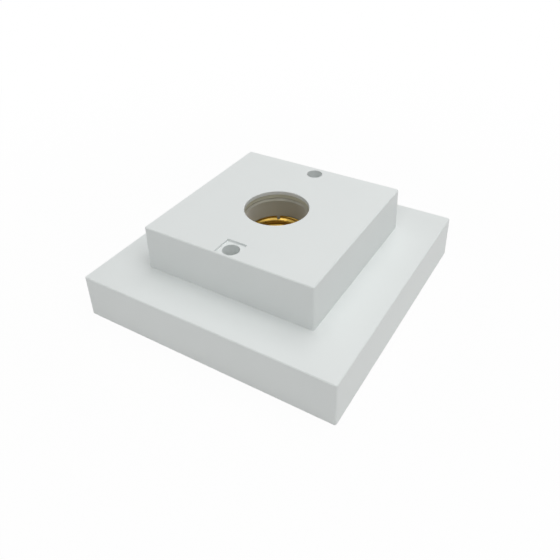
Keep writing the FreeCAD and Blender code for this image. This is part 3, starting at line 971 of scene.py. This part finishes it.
class LAMPHOLDER_OT_stage(bpy.types.Operator):
    """Sets the pale floor, the soft lights and the camera"""

    bl_idname = "lamp_holder.stage"
    bl_label = "Studio"

    FLOOR_SIDE = 6.0
    FLOOR_GAP = 0.2 * MM
    WINDOW_INSET = 0.3 * MM
    WHITE_SHARE = 0.95
    WHITE_REACH = 0.35
    SKY = 0.2
    # Place and side in metres, and power in watts
    LIGHTS = {
        "top_softbox": ((0.05, 0.25, 0.80), 0.6, 2.55),
        "right_softbox": ((0.50, -0.05, 0.75), 0.5, 1.9),
        "left_softbox": ((-0.70, -0.42, 0.40), 0.5, 0.6),
        "front_softbox": ((0.10, -0.62, 0.62), 0.3, 0.95),
        "back_softbox": ((0.10, -0.15, -0.80), 0.6, 2.8),
    }

    def execute(self, context):
        self.floor(context.scene.lamp_holder_colours.floor[:])
        self.sky(context.scene)
        for name, (place, side, power) in self.LIGHTS.items():
            self.softbox(name, Vector(place), side, power)
        self.camera(context.scene)
        context.scene.view_settings.view_transform = "Standard"
        return {"FINISHED"}

    def floor(self, colour):
        """Lays a matte floor, almost as white as the background and open under the block's back."""
        _, block_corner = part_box("mounting_block")
        corners = []
        for half in (self.FLOOR_SIDE / 2, block_corner.x - self.WINDOW_INSET):
            for x, y in ((-half, -half), (half, -half), (half, half), (-half, half)):
                corners.append((x, y, -self.FLOOR_GAP))
        sides = [(side, (side + 1) % 4, (side + 1) % 4 + 4, side + 4) for side in range(4)]
        mesh = bpy.data.meshes.new("studio_floor")
        mesh.from_pydata(corners, [], sides)
        floor = new_object("studio_floor", mesh)
        material, tree, shader, place = new_material("matte_paper_floor")
        shader.inputs["Base Color"].default_value = colour
        shader.inputs["Roughness"].default_value = 0.9
        rays = self.seen_rays(tree)
        glow = add_node(tree, "ShaderNodeEmission", {"Color": (1, 1, 1, 1), "Strength": 1.0})
        distance = add_node(tree, "ShaderNodeVectorMath", {0: place}, operation="LENGTH")
        white = add_node(
            tree, "ShaderNodeMapRange",
            {"Value": distance.outputs["Value"], "From Max": self.WHITE_REACH, "To Min": self.WHITE_SHARE},
            interpolation_type="SMOOTHSTEP",
        )
        share = add_node(
            tree, "ShaderNodeMath", {0: rays, 1: white.outputs["Result"]}, operation="MULTIPLY"
        )
        lit = add_node(
            tree, "ShaderNodeMixShader",
            {0: share.outputs[0], 1: shader.outputs["BSDF"], 2: glow.outputs[0]},
        )
        # From below the floor is clear, so that the open back can be looked into
        side = add_node(tree, "ShaderNodeNewGeometry")
        clear = add_node(tree, "ShaderNodeBsdfTransparent")
        mix = add_node(
            tree, "ShaderNodeMixShader",
            {0: side.outputs["Backfacing"], 1: lit.outputs[0], 2: clear.outputs[0]},
        )
        tree.links.new(mix.outputs[0], tree.nodes["Material Output"].inputs["Surface"])
        floor.data.materials.append(material)

    def seen_rays(self, tree):
        """Gives 1 for what the camera sees directly, in a gloss or through glass."""
        path = add_node(tree, "ShaderNodeLightPath")
        seen = path.outputs["Is Camera Ray"]
        for kind in ("Is Glossy Ray", "Is Transmission Ray"):
            seen = add_node(
                tree, "ShaderNodeMath", {0: seen, 1: path.outputs[kind]}, operation="MAXIMUM"
            ).outputs[0]
        return seen

    def sky(self, scene):
        """Lights the studio evenly and shows as white."""
        world = bpy.data.worlds.new("studio_sky")
        world.use_nodes = True
        tree = world.node_tree
        light = tree.nodes["Background"]
        light.inputs["Color"].default_value = (1, 1, 1, 1)
        light.inputs["Strength"].default_value = self.SKY
        white = add_node(tree, "ShaderNodeBackground", {"Color": (1, 1, 1, 1), "Strength": 1.0})
        mix = add_node(
            tree, "ShaderNodeMixShader",
            {0: self.seen_rays(tree), 1: light.outputs[0], 2: white.outputs[0]},
        )
        tree.links.new(mix.outputs[0], tree.nodes["World Output"].inputs["Surface"])
        scene.world = world

    def softbox(self, name, place, side, power):
        """Hangs a square soft light that faces the lamp holder."""
        lamp = bpy.data.lights.new(name, "AREA")
        lamp.shape = "SQUARE"
        lamp.size = side
        lamp.energy = power
        light = bpy.data.objects.new(name, lamp)
        light.location = place
        light.rotation_euler = (-place).to_track_quat("-Z", "Y").to_euler()
        bpy.context.scene.collection.objects.link(light)

    def camera(self, scene):
        """Stands the camera where the photograph was taken."""
        lens = bpy.data.cameras.new("photo_camera")
        lens.sensor_width = SENSOR
        lens.lens = SENSOR * EYE_FOCUS / PICTURE_WIDTH
        lens.clip_start = NEAREST_SEEN
        eye = bpy.data.objects.new("photo_camera", lens)
        look = EYE_LOOK.normalized()
        right = look.cross(EYE_UP).normalized()
        up = right.cross(look)
        turn = Matrix((right, up, -look)).transposed().to_4x4()
        eye.matrix_world = Matrix.Translation(EYE) @ turn
        scene.collection.objects.link(eye)
        scene.camera = eye


class LAMPHOLDER_PT_panel(bpy.types.Panel):
    """Lists the lamp holder's pieces and their sizes"""

    bl_idname = "LAMPHOLDER_PT_panel"
    bl_label = "Lamp holder"
    bl_space_type = "VIEW_3D"
    bl_region_type = "UI"
    bl_category = "Lamp holder"

    def draw(self, context):
        for step in STEPS:
            self.layout.operator(step.bl_idname)
        for group in (context.scene.lamp_holder_sizes, context.scene.lamp_holder_colours):
            for name in group.bl_rna.properties.keys():
                if name not in ("name", "rna_type"):
                    self.layout.prop(group, name)


STEPS = (
    LAMPHOLDER_OT_mouldings,
    LAMPHOLDER_OT_insulator,
    LAMPHOLDER_OT_shell,
    LAMPHOLDER_OT_contact,
    LAMPHOLDER_OT_rivets,
    LAMPHOLDER_OT_terminals,
    LAMPHOLDER_OT_fixings,
    LAMPHOLDER_OT_stage,
)
CLASSES = (LampHolderSizes, LampHolderColours, *STEPS, LAMPHOLDER_PT_panel)


def register():
    """Makes the sizes, colours, steps and panel known."""
    for cls in CLASSES:
        bpy.utils.register_class(cls)
    bpy.types.Scene.lamp_holder_sizes = PointerProperty(type=LampHolderSizes)
    bpy.types.Scene.lamp_holder_colours = PointerProperty(type=LampHolderColours)


def unregister():
    """Takes away what register made known."""
    del bpy.types.Scene.lamp_holder_colours
    del bpy.types.Scene.lamp_holder_sizes
    for cls in reversed(CLASSES):
        bpy.utils.unregister_class(cls)


def main():
    """Makes every piece in order."""
    register()
    bpy.ops.lamp_holder.mouldings()
    bpy.ops.lamp_holder.insulator()
    bpy.ops.lamp_holder.shell()
    bpy.ops.lamp_holder.contact()
    bpy.ops.lamp_holder.rivets()
    bpy.ops.lamp_holder.terminals()
    bpy.ops.lamp_holder.fixings()
    bpy.ops.lamp_holder.stage()


if __name__ == "__main__":
    main()
